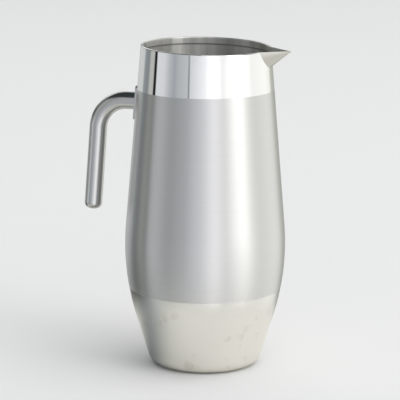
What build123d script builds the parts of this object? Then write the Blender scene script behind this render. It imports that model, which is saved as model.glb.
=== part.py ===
from build123d import *
import os
from math import atan, cos, radians, sin, tan

# Stainless steel water pitcher, all welded sheet metal: a tapered vessel with a folded-in lip,
# a recessed base, a small beak spout on +X and an open hook handle on -X.
# Millimetres, +Z up. The origin is on the vessel's axis, in the plane that it stands on.

# ---- driving dimensions ----

# vessel, outer surface
LIP_HEIGHT = 267.0        # lip plane where it crosses the axis
LIP_SLANT = 1.16          # degrees that the lip plane falls towards the spout
LIP_RADIUS = 53.5         # outer radius of the upper wall at LIP_HEIGHT
UPPER_TAPER = 4.77        # degrees that the upper wall leans in towards the lip
LOWER_TAPER = 17.0        # degrees that the lower wall leans in towards the foot
HEEL_CORNER_RADIUS = 44.9 # where the lower wall, made straight, would meet the floor
BELLY_BLEND = 200.0       # arc between the two straight walls
HEEL_BLEND = 10.5         # arc between the lower wall and the floor
FLANGE_RADIUS = 35.0      # inner edge of the sheet that is turned in under the heel

# sheet and lip
WALL = 0.9                # sheet of the vessel
HEM_THICKNESS = 1.8       # the sheet folded back on itself at the lip
HEM_DEPTH = 5.5           # how far down the fold reaches inside
LIP_ROUND = 0.8           # rounding of the fold, inside and out

# base pan
PAN_SHEET = 1.0
PAN_RISE = 4.0            # the middle stands this far off the floor
PAN_LAND = 2.0            # flat edge that is welded to the vessel's turned-in sheet
PAN_SLOPE_WIDTH = 5.0     # width of the ring that climbs to the middle
PAN_BEND = 2.0

# spout
SPOUT_REACH = 72.4        # the cone's point, from the axis, in the lip plane
SPOUT_ROOT = 46.0         # where the cone is started, inside the wall
SPOUT_TIP = 0.6           # length of cone left off, so that the point is blunt
SPOUT_WIDTH_SLOPE = 0.82  # half width gained for each mm back from the point
SPOUT_DEPTH_SLOPE = 0.82  # depth gained for each mm back from the point
SPOUT_SHEET = 1.2

# handle
TUBE_RADIUS = 7.35
TUBE_WALL = 1.2
HANDLE_HEIGHT = 218.4     # axis of the straight run that leaves the wall
HANDLE_REACH = 92.1       # from the vessel's axis to the corner of the bend
HANDLE_BEND = 25.3        # radius of the bend at the tube's axis
HANDLE_LEAN = 4.2         # degrees that the leg leans out towards its free end
HANDLE_END = 124.8        # height of the free end
PLATE_THICKNESS = 2.0
PLATE_HEIGHT = 28.0
PLATE_WIDTH = 25.0
PLATE_CORNER = 2.0
PLATE_EDGE = 0.5          # rounding of the outer edges
CAP_LENGTH = 6.5          # outside length of the plug that closes the tube
CAP_ROUND = 5.4
CAP_SPIGOT = 5.0          # length of the plug inside the tube

# ---- worked-out sizes ----

SPARE = 12.0              # how far shapes run on past the faces that trim them
upper_slope = tan(radians(UPPER_TAPER))
lower_slope = tan(radians(LOWER_TAPER))
belly_height = (LIP_RADIUS + LIP_HEIGHT * upper_slope - HEEL_CORNER_RADIUS) / (lower_slope + upper_slope)
belly_corner = (HEEL_CORNER_RADIUS + belly_height * lower_slope, belly_height)
heel_corner = (HEEL_CORNER_RADIUS, 0)
top_corner = (LIP_RADIUS - SPARE * upper_slope, LIP_HEIGHT + SPARE)

slant = radians(LIP_SLANT)
lip_normal = (sin(slant), 0, cos(slant))
lip_plane = Plane(origin=(0, 0, LIP_HEIGHT), x_dir=(cos(slant), 0, -sin(slant)), z_dir=lip_normal)
fold_plane = lip_plane.offset(-HEM_DEPTH)

lean = radians(HANDLE_LEAN)
plate_centre = (-(LIP_RADIUS + (LIP_HEIGHT - HANDLE_HEIGHT) * upper_slope), 0, HANDLE_HEIGHT)
bend_corner = (-HANDLE_REACH, 0, HANDLE_HEIGHT)
leg_end = (-HANDLE_REACH - (HANDLE_HEIGHT - HANDLE_END) * tan(lean), 0, HANDLE_END)
leg_end_plane = Plane(origin=leg_end, x_dir=(cos(lean), 0, -sin(lean)), z_dir=(sin(lean), 0, cos(lean)))
tube_end_plane = leg_end_plane.offset(CAP_LENGTH)


def lip_height_at(x):
    """Height of the lip plane above a point x along the spout's direction."""
    return LIP_HEIGHT - x * tan(slant)


def spout_section(x, set_back):
    """The spout's cone where it crosses x, with its point moved back along the lip."""
    reach = SPOUT_REACH - set_back - x
    width = SPOUT_WIDTH_SLOPE * reach
    depth = SPOUT_DEPTH_SLOPE * reach
    with BuildSketch(Plane(origin=(x, 0, lip_height_at(x)), x_dir=(0, 1, 0), z_dir=(1, 0, 0))) as section:
        with BuildLine():
            Bezier((-width, 0), (-0.85 * width, -0.55 * depth), (-0.45 * width, -depth), (0, -depth))
            Bezier((0, -depth), (0.45 * width, -depth), (0.85 * width, -0.55 * depth), (width, 0))
            Line((width, 0), (-width, 0))
        make_face()
    return section.sketch


# ---- shapes that the pieces are fitted to ----

# the vessel as if it were filled to the lip, with the lip's outer edge rounded
with BuildPart() as vessel_form:
    with BuildSketch(Plane.YZ):
        with BuildLine():
            FilletPolyline((0, 0), heel_corner, belly_corner, top_corner, radius=[HEEL_BLEND, BELLY_BLEND])
            Polyline(top_corner, (0, top_corner[1]), (0, 0))
        make_face()
    revolve(axis=Axis.Z)
    split(bisect_by=lip_plane, keep=Keep.BOTTOM)
    fillet(vessel_form.edges().group_by(Axis.Z)[-1], radius=LIP_ROUND)

# the same round the upper wall, but thicker by the handle's plate
plate_bottom = (belly_corner[0] + PLATE_THICKNESS / cos(radians(UPPER_TAPER)), belly_height)
plate_top = (top_corner[0] + PLATE_THICKNESS / cos(radians(UPPER_TAPER)), top_corner[1])
with BuildPart() as plate_form:
    with BuildSketch(Plane.YZ):
        with BuildLine():
            Polyline((0, belly_height), plate_bottom, plate_top, (0, top_corner[1]), close=True)
        make_face()
    revolve(axis=Axis.Z)

# the hollow of the spout, run on inwards so that it also cuts the notch in the wall
spout_set_back = SPOUT_SHEET / (SPOUT_WIDTH_SLOPE * cos(atan(SPOUT_WIDTH_SLOPE)))
with BuildPart() as spout_hollow:
    add(spout_section(SPOUT_ROOT, spout_set_back))
    add(spout_section(SPOUT_REACH - spout_set_back - SPOUT_TIP, spout_set_back))
    loft(ruled=True)

# ---- vessel ----

# the sheet folded back on itself round the mouth
with BuildPart() as lip_fold:
    with BuildSketch(Plane.YZ):
        with BuildLine():
            Line(belly_corner, top_corner)
            offset(amount=HEM_THICKNESS, side=Side.LEFT)
        make_face()
    revolve(axis=Axis.Z)
    split(bisect_by=fold_plane, keep=Keep.TOP)
    split(bisect_by=lip_plane, keep=Keep.BOTTOM)

with BuildPart() as body_shell:
    with BuildSketch(Plane.YZ):
        with BuildLine():
            FilletPolyline(
                (FLANGE_RADIUS, 0), heel_corner, belly_corner, top_corner, radius=[HEEL_BLEND, BELLY_BLEND]
            )
            offset(amount=WALL, side=Side.LEFT)
        make_face()
    revolve(axis=Axis.Z)
    split(bisect_by=fold_plane, keep=Keep.BOTTOM)
    add(lip_fold.part)
    add(spout_hollow.part, mode=Mode.SUBTRACT)
    lip_edges = body_shell.faces().sort_by(Axis((0, 0, 0), lip_normal))[-1].edges().sort_by(Edge.length)
    fillet(lip_edges[-2:], radius=LIP_ROUND)

with BuildPart() as base_pan:
    with BuildSketch(Plane.YZ):
        with BuildLine():
            FilletPolyline(
                (0, PAN_RISE),
                (FLANGE_RADIUS - PAN_LAND - PAN_SLOPE_WIDTH, PAN_RISE),
                (FLANGE_RADIUS - PAN_LAND, 0),
                (FLANGE_RADIUS, 0),
                radius=PAN_BEND,
            )
            offset(amount=PAN_SHEET, side=Side.LEFT)
        make_face()
    revolve(axis=Axis.Z)

with BuildPart() as spout_beak:
    add(spout_section(SPOUT_ROOT, 0))
    add(spout_section(SPOUT_REACH - SPOUT_TIP, 0))
    loft(ruled=True)
    add(spout_hollow.part, mode=Mode.SUBTRACT)
    add(vessel_form.part, mode=Mode.SUBTRACT)

# ---- handle ----

with BuildPart() as handle_plate:
    with BuildSketch(Plane(origin=plate_centre, x_dir=(0, 1, 0), z_dir=(-1, 0, 0))):
        RectangleRounded(PLATE_WIDTH, PLATE_HEIGHT, PLATE_CORNER)
    extrude(amount=SPARE, both=True)
    add(plate_form.part, mode=Mode.INTERSECT)
    add(vessel_form.part, mode=Mode.SUBTRACT)
    fillet(handle_plate.faces().sort_by(Axis.X)[0].edges(), radius=PLATE_EDGE)

with BuildPart() as handle_tube:
    with BuildLine():
        FilletPolyline(plate_centre, bend_corner, tube_end_plane.origin, radius=HANDLE_BEND)
    with BuildSketch(Plane(origin=plate_centre, z_dir=(-1, 0, 0))):
        Circle(TUBE_RADIUS)
        Circle(TUBE_RADIUS - TUBE_WALL, mode=Mode.SUBTRACT)
    sweep()
    add(plate_form.part, mode=Mode.SUBTRACT)

with BuildPart() as handle_end_cap:
    with BuildSketch(leg_end_plane):
        Circle(TUBE_RADIUS)
    extrude(amount=CAP_LENGTH)
    fillet(handle_end_cap.edges().sort_by(Axis.Z)[0], radius=CAP_ROUND)
    with BuildSketch(tube_end_plane):
        Circle(TUBE_RADIUS - TUBE_WALL)
    extrude(amount=CAP_SPIGOT)

# ---- files ----

pieces = {
    "body_shell": body_shell,
    "base_pan": base_pan,
    "spout_beak": spout_beak,
    "handle_plate": handle_plate,
    "handle_tube": handle_tube,
    "handle_end_cap": handle_end_cap,
}
os.makedirs("parts", exist_ok=True)
for piece_name, piece in pieces.items():
    piece.part.label = piece_name
    export_step(piece.part, f"parts/{piece_name}.step")
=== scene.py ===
from math import cos, pi, radians, sin, tan

import bpy
from mathutils import Matrix, Vector


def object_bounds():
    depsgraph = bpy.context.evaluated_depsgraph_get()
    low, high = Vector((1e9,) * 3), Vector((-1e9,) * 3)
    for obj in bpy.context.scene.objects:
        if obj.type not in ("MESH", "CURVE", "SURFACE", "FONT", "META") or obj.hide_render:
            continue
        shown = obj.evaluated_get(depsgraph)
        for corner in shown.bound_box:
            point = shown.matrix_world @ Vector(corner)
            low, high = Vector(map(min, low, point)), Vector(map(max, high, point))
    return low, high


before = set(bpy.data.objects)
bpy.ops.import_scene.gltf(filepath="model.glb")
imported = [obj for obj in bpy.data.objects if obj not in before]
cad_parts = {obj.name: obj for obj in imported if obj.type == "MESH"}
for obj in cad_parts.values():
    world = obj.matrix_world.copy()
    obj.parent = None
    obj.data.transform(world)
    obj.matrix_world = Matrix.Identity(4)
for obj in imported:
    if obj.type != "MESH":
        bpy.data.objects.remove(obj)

# Stainless steel water pitcher. Metres; +Z up, spout on +X, handle on -X.

cad_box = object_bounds()
HEIGHT = cad_box[1][2]

# ---- the vessel's mirror bands, as shares of its height ----
LOWER_BAND_TOP = 0.2430 * HEIGHT
UPPER_BAND_BOTTOM = 0.8650 * HEIGHT
BAND_EDGE = 0.0003              # half the width over which one finish turns into the next

# ---- the lip: its plane falls towards the spout, and the sheet is folded in below it ----
LIP_SLANT = radians(1.16)
LIP_RADIUS = 0.0534             # where the lip is highest, above the handle
LIP_AT_AXIS = HEIGHT - LIP_RADIUS * tan(LIP_SLANT)
FOLD_DEPTH = 0.0055

# ---- finishes: the range of each roughness and of each colour ----
SATIN_ROUGH = (0.35, 0.37)
SATIN_COLOURS = ((0.695, 0.695, 0.69, 1), (0.715, 0.715, 0.71, 1))
MIRROR_ROUGH = (0.030, 0.070)
MIRROR_COLOURS = ((0.86, 0.86, 0.85, 1), (0.88, 0.88, 0.87, 1))
INSIDE_ROUGH = (0.38, 0.48)
INSIDE_COLOURS = ((0.66, 0.66, 0.63, 1), (0.86, 0.85, 0.82, 1))
SPOUT_ROUGH = (0.17, 0.22)
SPOUT_COLOURS = ((0.76, 0.755, 0.71, 1), (0.79, 0.785, 0.74, 1))
HANDLE_ROUGH = (0.16, 0.20)
HANDLE_COLOURS = ((0.61, 0.61, 0.60, 1), (0.65, 0.65, 0.64, 1))
WATER_MARK = (0.70, 0.68, 0.64, 1)
MARK_STRENGTH = 0.6
MARKS_FADE = (0.045, 0.065)     # heights between which the water marks fade out
# painted shade for the crevice under the fold inside the lip
FOLD_SHADE_COLOUR = (0.38, 0.38, 0.37, 1)
BRUSHING = 0.8                  # how strongly the brushing stretches highlights
SATIN_BUMP = 0.000003
SPOUT_BUMP = 0.00004
HANDLE_BUMP = 0.000006

# ---- the studio ----
FLOOR_RADIUS = 9.0
FLOOR_LEVEL = -0.0003
FLOOR_COLOUR = (0.86, 0.86, 0.86, 1)
NEAR_FLOOR_RADIUS = 0.22
NEAR_FLOOR_LEVEL = -0.0001
NEAR_FLOOR_COLOUR = (0.85, 0.83, 0.765, 1)
# painted shade on the near floor's side away from the window
NEAR_FLOOR_PAINTED_SHADE = (0.37, 0.385, 0.38, 1)
NEAR_FLOOR_FADE = (0.11, 0.21)  # distances between which the near floor fades out
FLOOR_SIDES = 96
LAMP_HEIGHT = 6.0
KEY_SIZE, KEY_POWER = 6.5, 125.0
KEY_TO_RIGHT, KEY_TO_CAMERA = 2.4, 1.6
FILL_SIZE, FILL_POWER = 10.0, 235.0
FILL_TO_CAMERA = -1.0
BACKDROP = (0.78, 0.79, 0.80, 1)
WINDOW_LIGHT = (2.1, 2.1, 2.05, 1)
PANE_LIGHT = (3.4, 3.4, 3.3, 1)
FAR_WALL_LIGHT = (1.0, 1.0, 1.0, 1)
LIGHT_FROM_BELOW = (0.68, 0.67, 0.63, 1)
CEILING = (0.045, 0.053, 0.055, 1)

# ---- the view ----
VIEW_TURN = radians(17.0)       # how far the camera stands round from straight in front
VIEW_LIFT = radians(11.82)
VIEW_DISTANCE = 1.86
VIEW_ASIDE = -0.0044            # the aim, sideways from the vessel's axis
VIEW_HEIGHT = 0.1379            # the aim's height
VIEW_ROLL = radians(0.25)
LENS = 201.6
SENSOR = 36.0

to_camera = Vector((sin(VIEW_TURN), -cos(VIEW_TURN), 0))
to_right = Vector((cos(VIEW_TURN), sin(VIEW_TURN), 0))


# ---- small tools for building node trees ----

class Tree:
    """A node tree with short ways to add the nodes that the finishes use."""

    def __init__(self, owner):
        owner.use_nodes = True
        self.tree = owner.node_tree
        self.tree.nodes.clear()

    def node(self, kind, **settings):
        made = self.tree.nodes.new(kind)
        for name, value in settings.items():
            setattr(made, name, value)
        return made

    def link(self, value, socket):
        """Sets a socket to a number or colour, or links another node's output to it."""
        if isinstance(value, bpy.types.NodeSocket):
            self.tree.links.new(value, socket)
        else:
            socket.default_value = value

    def math(self, operation, first, second=0.0):
        made = self.node("ShaderNodeMath", operation=operation)
        self.link(first, made.inputs[0])
        self.link(second, made.inputs[1])
        return made.outputs[0]

    def vector(self, operation, first, second=(0, 0, 0)):
        made = self.node("ShaderNodeVectorMath", operation=operation)
        self.link(first, made.inputs[0])
        self.link(second, made.inputs[1])
        return made.outputs["Value"] if operation == "DOT_PRODUCT" else made.outputs[0]

    def ramp(self, value, low, high, to_low=0.0, to_high=1.0, smooth=True):
        """value from low to high, turned into to_low to to_high."""
        shape = "SMOOTHSTEP" if smooth else "LINEAR"
        made = self.node("ShaderNodeMapRange", interpolation_type=shape)
        for socket, number in zip(made.inputs, (value, low, high, to_low, to_high)):
            self.link(number, socket)
        return made.outputs[0]

    def spread(self, noise, low, high, limits):
        """Noise from low to high, turned evenly into the two limits."""
        return self.ramp(noise, low, high, *limits, smooth=False)

    def hill(self, value, rise, fall):
        """One between the rise and the fall, each given as where it starts and ends, and else zero."""
        return self.math("MULTIPLY", self.ramp(value, *rise), self.ramp(value, *fall, 1.0, 0.0))

    def mix(self, share, first, second):
        """Two numbers mixed."""
        made = self.node("ShaderNodeMix", data_type="FLOAT")
        self.link(share, made.inputs[0])
        self.link(first, made.inputs[2])
        self.link(second, made.inputs[3])
        return made.outputs[0]

    def tint(self, share, first, second):
        """Two colours mixed."""
        made = self.node("ShaderNodeMix", data_type="RGBA")
        self.link(share, made.inputs[0])
        self.link(first, made.inputs[6])
        self.link(second, made.inputs[7])
        return made.outputs[2]

    def noise(self, place, stretch, detail=2.0, roughness=0.5):
        """Noise whose grain along each axis is one over that axis's stretch, in metres."""
        scaled = self.vector("MULTIPLY", place, stretch)
        made = self.node("ShaderNodeTexNoise")
        made.inputs["Scale"].default_value = 1.0
        made.inputs["Detail"].default_value = detail
        made.inputs["Roughness"].default_value = roughness
        self.link(scaled, made.inputs["Vector"])
        return made.outputs[0]


def metal(name):
    """A new material with a metal shader, its tree, and the place on the object in metres."""
    material = bpy.data.materials.new(name)
    tree = Tree(material)
    shader = tree.node("ShaderNodeBsdfPrincipled")
    shader.inputs["Metallic"].default_value = 1.0
    output = tree.node("ShaderNodeOutputMaterial")
    tree.link(shader.outputs[0], output.inputs[0])
    place = tree.node("ShaderNodeTexCoord").outputs["Object"]
    return material, tree, shader, place


def brush_around(tree, shader):
    """Brushing that runs round the vessel, so that highlights stretch up and down it."""
    tangent = tree.node("ShaderNodeTangent", direction_type="RADIAL", axis="Z")
    tree.link(tangent.outputs[0], shader.inputs["Tangent"])
    shader.inputs["Anisotropic"].default_value = BRUSHING
    shader.inputs["Anisotropic Rotation"].default_value = 0.25


def bump(tree, shader, height, distance):
    """Grain too fine for the mesh."""
    made = tree.node("ShaderNodeBump")
    made.inputs["Strength"].default_value = 1.0
    made.inputs["Distance"].default_value = distance
    tree.link(height, made.inputs["Height"])
    tree.link(made.outputs[0], shader.inputs["Normal"])


def vessel_steel():
    """One sheet with three finishes outside, mirror, satin, mirror, and satin inside."""
    material, tree, shader, place = metal("vessel_steel")
    normal = tree.node("ShaderNodeNewGeometry").outputs["Normal"]
    parts = tree.node("ShaderNodeSeparateXYZ")
    tree.link(place, parts.inputs[0])
    height = parts.outputs[2]
    outward = tree.vector("MULTIPLY", place, (1, 1, 0))
    outside = tree.math("GREATER_THAN", tree.vector("DOT_PRODUCT", outward, normal), 0.0)
    inside = tree.math("SUBTRACT", 1.0, outside)

    lower_edge = (LOWER_BAND_TOP - BAND_EDGE, LOWER_BAND_TOP + BAND_EDGE)
    upper_edge = (UPPER_BAND_BOTTOM - BAND_EDGE, UPPER_BAND_BOTTOM + BAND_EDGE)
    satin = tree.math("MAXIMUM", tree.hill(height, lower_edge, upper_edge), inside)

    # the brushing runs round the vessel in short fine lines
    fine = tree.noise(place, (60, 60, 5200), 3.0, 0.6)
    streak = tree.noise(place, (18, 18, 900), 4.0, 0.65)
    cloud = tree.noise(place, (22, 22, 22), 2.0)
    smudge = tree.noise(place, (70, 70, 70), 4.0, 0.6)
    # inside, the buffing was left in upright patches
    patch = tree.noise(place, (75, 75, 3), 3.0, 0.6)
    satin_rough = tree.spread(streak, 0.3, 0.7, SATIN_ROUGH)
    mirror_rough = tree.spread(smudge, 0.35, 0.7, MIRROR_ROUGH)
    rough = tree.mix(satin, mirror_rough, satin_rough)
    rough = tree.mix(inside, rough, tree.spread(patch, 0.35, 0.65, INSIDE_ROUGH))
    tree.link(rough, shader.inputs["Roughness"])

    satin_colour = tree.tint(tree.ramp(streak, 0.25, 0.75), *SATIN_COLOURS)
    mirror_colour = tree.tint(cloud, *MIRROR_COLOURS)
    # faint water marks low down, where a wet table splashes it
    low_down = tree.ramp(height, *MARKS_FADE, MARK_STRENGTH, 0.0)
    marks = tree.math("MULTIPLY", tree.ramp(smudge, 0.57, 0.69), low_down)
    mirror_colour = tree.tint(marks, mirror_colour, WATER_MARK)
    inside_colour = tree.tint(tree.ramp(patch, 0.35, 0.65), *INSIDE_COLOURS)
    colour = tree.tint(satin, mirror_colour, satin_colour)
    colour = tree.tint(inside, colour, inside_colour)

    # painted shade: a dark line painted inside where the folded sheet meets the wall, standing in for the
    # shadow in that crevice
    lip_normal = (sin(LIP_SLANT), 0, cos(LIP_SLANT))
    along = tree.vector("DOT_PRODUCT", place, lip_normal)
    depth = tree.math("SUBTRACT", LIP_AT_AXIS * cos(LIP_SLANT), along)
    starts = (FOLD_DEPTH - 0.0003, FOLD_DEPTH)
    stops = (FOLD_DEPTH + 0.0008, FOLD_DEPTH + 0.0016)
    fold_shade = tree.math("MULTIPLY", tree.hill(depth, starts, stops), inside)
    tree.link(tree.tint(fold_shade, colour, FOLD_SHADE_COLOUR), shader.inputs["Base Color"])
    brush_around(tree, shader)

    grain = tree.math("ADD", fine, tree.math("MULTIPLY", streak, 0.5))
    bump(tree, shader, tree.math("MULTIPLY", grain, satin), SATIN_BUMP)
    return material


def spout_steel():
    """Polished sheet with the faint waviness that polishing leaves."""
    material, tree, shader, place = metal("polished_steel")
    cloud = tree.noise(place, (60, 60, 60), 2.0)
    tree.link(tree.spread(cloud, 0.3, 0.7, SPOUT_ROUGH), shader.inputs["Roughness"])
    tree.link(tree.tint(cloud, *SPOUT_COLOURS), shader.inputs["Base Color"])
    bump(tree, shader, cloud, SPOUT_BUMP)
    return material


def handle_steel():
    """Fine satin, rubbed along the tube."""
    material, tree, shader, place = metal("handle_steel")
    grain = tree.noise(place, (2600, 2600, 60), 2.0)
    cloud = tree.noise(place, (45, 45, 45), 2.0)
    tree.link(tree.spread(cloud, 0.3, 0.7, HANDLE_ROUGH), shader.inputs["Roughness"])
    tree.link(tree.tint(grain, *HANDLE_COLOURS), shader.inputs["Base Color"])
    bump(tree, shader, grain, HANDLE_BUMP)
    return material


# ---- the light round about: degrees from the camera to its right, and the colour there ----

# what stands round the pitcher at its own height
WALLS = (
    (-180, (0.38, 0.39, 0.38)),
    (-158, (0.62, 0.64, 0.64)),
    (-134, (0.62, 0.64, 0.64)),
    (-130, (0.31, 0.35, 0.37)),
    (-119, (0.24, 0.26, 0.27)),
    (-114, (0.28, 0.30, 0.31)),
    (-110, (0.51, 0.52, 0.50)),
    (-101, (0.51, 0.52, 0.50)),
    (-98.5, (0.015, 0.015, 0.015)),
    (-94, (0.015, 0.015, 0.015)),
    (-92, (0.74, 0.76, 0.79)),
    (-76, (0.71, 0.73, 0.75)),
    (-63, (0.48, 0.50, 0.53)),
    (-55, (0.39, 0.41, 0.45)),
    (-48, (0.47, 0.49, 0.52)),
    (-30.5, (0.57, 0.59, 0.62)),
    (-29.3, (0.20, 0.22, 0.25)),
    (-28.4, (0.20, 0.22, 0.25)),
    (-27.2, (0.68, 0.71, 0.75)),
    (-12, (0.88, 0.89, 0.93)),
    (-2, (1.02, 1.03, 1.06)),
    (8, (1.32, 1.32, 1.35)),
    (20, (1.25, 1.25, 1.26)),
    (28, (1.03, 1.03, 1.04)),
    (45, (1.30, 1.30, 1.29)),
    (70, (1.30, 1.30, 1.28)),
    (84, (1.03, 1.03, 1.01)),
    (120, (1.10, 1.10, 1.07)),
    (134, (0.98, 0.99, 0.93)),
    (145, (0.52, 0.53, 0.47)),
    (180, (0.38, 0.39, 0.38)),
)
# the same further up and down, where only satin metal shows it
SURROUNDINGS = (
    (-180, (0.26, 0.26, 0.25)),
    (-160, (0.20, 0.20, 0.19)),
    (-146, (0.12, 0.12, 0.11)),
    (-125, (0.09, 0.09, 0.08)),
    (-108, (0.19, 0.205, 0.195)),
    (-92, (0.42, 0.43, 0.43)),
    (-80, (0.52, 0.53, 0.54)),
    (-66, (0.44, 0.46, 0.46)),
    (-55, (0.40, 0.42, 0.415)),
    (-35, (0.52, 0.54, 0.56)),
    (-17, (0.70, 0.71, 0.75)),
    (0, (0.90, 0.91, 0.95)),
    (12, (1.32, 1.32, 1.36)),
    (20, (1.20, 1.20, 1.23)),
    (30, (0.80, 0.80, 0.82)),
    (42, (0.84, 0.84, 0.85)),
    (60, (1.10, 1.10, 1.07)),
    (80, (0.86, 0.86, 0.83)),
    (90, (0.84, 0.84, 0.81)),
    (118, (0.98, 0.98, 0.955)),
    (135, (0.85, 0.86, 0.82)),
    (148, (0.55, 0.57, 0.54)),
    (162, (0.33, 0.34, 0.32)),
    (180, (0.26, 0.26, 0.25)),
)


def round_about(tree, turn, colours):
    """A colour for each direction round the pitcher."""
    share = tree.math("ADD", tree.math("DIVIDE", turn, 2 * pi), 0.5)
    ramp = tree.node("ShaderNodeValToRGB")
    tree.link(share, ramp.inputs[0])
    stops = ramp.color_ramp.elements
    while len(stops) < len(colours):
        stops.new(0.5)
    for stop, (degrees, colour) in zip(stops, colours):
        stop.position = degrees / 360 + 0.5
        stop.color = (*colour, 1)
    return ramp.outputs[0]


def light_room():
    """The world: a room whose light differs with the direction."""
    world = bpy.data.worlds.new("studio")
    bpy.context.scene.world = world
    tree = Tree(world)
    direction = tree.node("ShaderNodeTexCoord").outputs["Generated"]
    ahead = tree.vector("DOT_PRODUCT", direction, tuple(to_camera))
    aside = tree.vector("DOT_PRODUCT", direction, tuple(to_right))
    turn = tree.math("ARCTAN2", aside, ahead)
    parts = tree.node("ShaderNodeSeparateXYZ")
    tree.link(direction, parts.inputs[0])
    climb = parts.outputs[2]

    # climb is the upward part of the direction, from -1 straight down to 1 straight up
    at_its_height = tree.hill(climb, (-0.32, -0.24), (0.01, 0.06))
    room = tree.tint(at_its_height, round_about(tree, turn, SURROUNDINGS), round_about(tree, turn, WALLS))
    # a tall window to the right of the camera, brighter further up
    window = tree.hill(turn, (radians(46), radians(56)), (radians(62), radians(74)))
    window = tree.math("MULTIPLY", window, tree.ramp(climb, -0.40, -0.10, 0.0, 0.26))
    window = tree.math("MULTIPLY", window, tree.ramp(climb, -0.05, 0.30, 1.0, 3.0))
    room = tree.tint(window, room, WINDOW_LIGHT)
    # the window's top panes, which the buffed inside of the mouth shows most
    pane = tree.hill(turn, (radians(34), radians(44)), (radians(62), radians(72)))
    pane = tree.math("MULTIPLY", pane, tree.ramp(climb, 0.20, 0.30))
    room = tree.tint(pane, room, PANE_LIGHT)
    # a pale wall high on the far side
    beyond = tree.ramp(tree.math("ABSOLUTE", turn), radians(125), radians(150))
    beyond = tree.math("MULTIPLY", beyond, tree.ramp(climb, 0.16, 0.24))
    room = tree.tint(beyond, room, FAR_WALL_LIGHT)
    # pale light from straight below, and a dark ceiling
    room = tree.tint(tree.ramp(climb, -0.72, -0.50, 1.0, 0.0), room, LIGHT_FROM_BELOW)
    room = tree.tint(tree.ramp(climb, 0.55, 0.70), room, CEILING)

    # what the camera sees past the floor's edge is plain
    seen = tree.node("ShaderNodeLightPath").outputs["Is Camera Ray"]
    room = tree.tint(seen, room, BACKDROP)
    background = tree.node("ShaderNodeBackground")
    tree.link(room, background.inputs[0])
    background.inputs[1].default_value = 1.0
    output = tree.node("ShaderNodeOutputWorld")
    tree.link(background.outputs[0], output.inputs[0])


def floor_shader(name):
    """A new matt material, its tree, its shader and its output."""
    material = bpy.data.materials.new(name)
    tree = Tree(material)
    shader = tree.node("ShaderNodeBsdfPrincipled")
    shader.inputs["Roughness"].default_value = 0.75
    output = tree.node("ShaderNodeOutputMaterial")
    tree.link(shader.outputs[0], output.inputs[0])
    return material, tree, shader, output


def plain_floor_material():
    material, tree, shader, output = floor_shader("studio_floor")
    shader.inputs["Base Color"].default_value = FLOOR_COLOUR
    return material


def fading_floor_material():
    """The floor in reflections, which fades out away from the pitcher and has painted shade on its side
    away from the window.
    """
    material, tree, shader, output = floor_shader("near_floor")
    place = tree.node("ShaderNodeTexCoord").outputs["Object"]
    away = tree.node("ShaderNodeVectorMath", operation="LENGTH")
    tree.link(place, away.inputs[0])
    faded = tree.ramp(away.outputs["Value"], *NEAR_FLOOR_FADE)
    # painted shade: it darkens on the side away from the window, standing in for a shadow on the floor
    # there
    toward = tree.vector("NORMALIZE", place)
    leftward = tree.math("MAXIMUM", tree.vector("DOT_PRODUCT", toward, tuple(-to_right)), 0.0)
    painted_shade = tree.math("POWER", leftward, 5.0)
    colour = tree.tint(painted_shade, NEAR_FLOOR_COLOUR, NEAR_FLOOR_PAINTED_SHADE)
    tree.link(colour, shader.inputs["Base Color"])
    clear = tree.node("ShaderNodeBsdfTransparent")
    both = tree.node("ShaderNodeMixShader")
    tree.link(faded, both.inputs[0])
    tree.link(shader.outputs[0], both.inputs[1])
    tree.link(clear.outputs[0], both.inputs[2])
    tree.link(both.outputs[0], output.inputs[0])
    return material


def floor_disc(name, radius, height, material):
    """A round floor of many sides."""
    turns = [2 * pi * side / FLOOR_SIDES for side in range(FLOOR_SIDES)]
    ring = [(radius * cos(turn), radius * sin(turn), height) for turn in turns]
    mesh = bpy.data.meshes.new(name)
    mesh.from_pydata(ring, [], [range(FLOOR_SIDES)])
    mesh.materials.append(material)
    disc = bpy.data.objects.new(name, mesh)
    bpy.context.scene.collection.objects.link(disc)
    return disc


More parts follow.
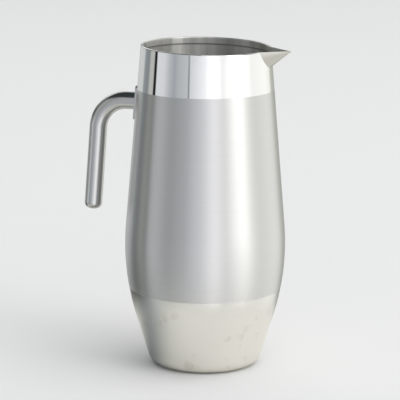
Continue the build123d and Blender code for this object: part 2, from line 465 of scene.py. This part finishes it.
def overhead_lamp(name, size, power, aside):
    """A round soft lamp, moved aside from straight above, that faces the pitcher."""
    place = aside + Vector((0, 0, LAMP_HEIGHT))
    lamp = bpy.data.lights.new(name, "AREA")
    lamp.shape = "DISK"
    lamp.size = size
    lamp.energy = power
    above = bpy.data.objects.new(name, lamp)
    above.location = place
    above.rotation_euler = place.to_track_quat("Z", "Y").to_euler()
    bpy.context.scene.collection.objects.link(above)
    return above


def build_studio():
    light_room()
    # the wide floor is what the camera sees; polished metal shows only the floor near the pitcher
    wide = floor_disc("floor", FLOOR_RADIUS, FLOOR_LEVEL, plain_floor_material())
    wide.visible_glossy = False
    near_floor = fading_floor_material()
    near = floor_disc("floor_in_reflections", NEAR_FLOOR_RADIUS, NEAR_FLOOR_LEVEL, near_floor)
    near.visible_camera = False
    near.visible_diffuse = False
    near.visible_shadow = False

    # the key light shows in the metal; the fill only evens out the floor
    overhead_lamp("key", KEY_SIZE, KEY_POWER, KEY_TO_RIGHT * to_right + KEY_TO_CAMERA * to_camera)
    fill = overhead_lamp("fill", FILL_SIZE, FILL_POWER, FILL_TO_CAMERA * to_camera)
    fill.visible_glossy = False


def place_camera():
    """The camera at the view's angle, rolled a little about the line that it looks along."""
    data = bpy.data.cameras.new("camera")
    data.sensor_width = SENSOR
    data.lens = LENS
    data.clip_end = 50.0
    camera = bpy.data.objects.new("camera", data)
    aim = VIEW_ASIDE * to_right + Vector((0, 0, VIEW_HEIGHT))
    back = cos(VIEW_LIFT) * to_camera + sin(VIEW_LIFT) * Vector((0, 0, 1))
    camera.location = aim + VIEW_DISTANCE * back
    upright = back.to_track_quat("Z", "Y").to_matrix().to_4x4()
    camera.rotation_euler = (upright @ Matrix.Rotation(VIEW_ROLL, 4, "Z")).to_euler()
    bpy.context.scene.collection.objects.link(camera)
    bpy.context.scene.camera = camera


def paint(node, material):
    """Gives a CAD node its one material."""
    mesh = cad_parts[node].data
    mesh.materials.clear()
    mesh.materials.append(material)


vessel = vessel_steel()
handle = handle_steel()
paint("body_shell", vessel)
paint("base_pan", vessel)
paint("spout_beak", spout_steel())
for node in ("handle_plate", "handle_tube", "handle_end_cap"):
    paint(node, handle)

build_studio()
place_camera()
bpy.context.scene.view_settings.view_transform = "Standard"
